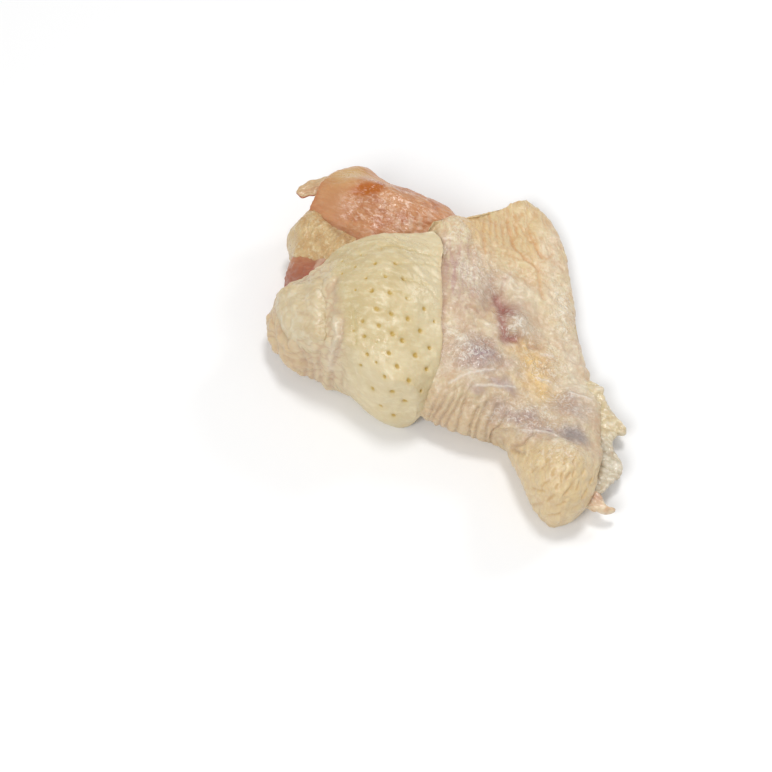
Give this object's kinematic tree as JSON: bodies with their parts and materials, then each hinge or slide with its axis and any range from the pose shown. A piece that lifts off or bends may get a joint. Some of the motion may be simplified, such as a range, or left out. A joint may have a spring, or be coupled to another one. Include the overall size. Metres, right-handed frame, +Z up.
{
  "type": "raw chicken wing",
  "caption": "Raw chicken wing joint, the upper arm: bare pink muscle at the shoulder, thick pored skin folded over a thin wrinkled web of skin, and lumps of yellow fat.",
  "frame": {"origin": "on the table, under the middle of the joint's box", "axes": "+X from the shoulder side to the free edge of the web, +Y from the elbow to the shoulder, +Z up, away from the table"},
  "size_m": [0.0894, 0.1016, 0.0305],
  "materials": {
    "muscle": "gloss",
    "web_skin": "satin",
    "pored_skin": "satin",
    "shoulder_fat": "satin",
    "fat_lobe": "satin"
  },
  "bodies": {
    "root": {"muscle": "muscle", "web_skin": "web_skin", "pored_skin": "pored_skin", "shoulder_fat": "shoulder_fat", "fat_lobe": "fat_lobe"}
  },
  "joints": []
}
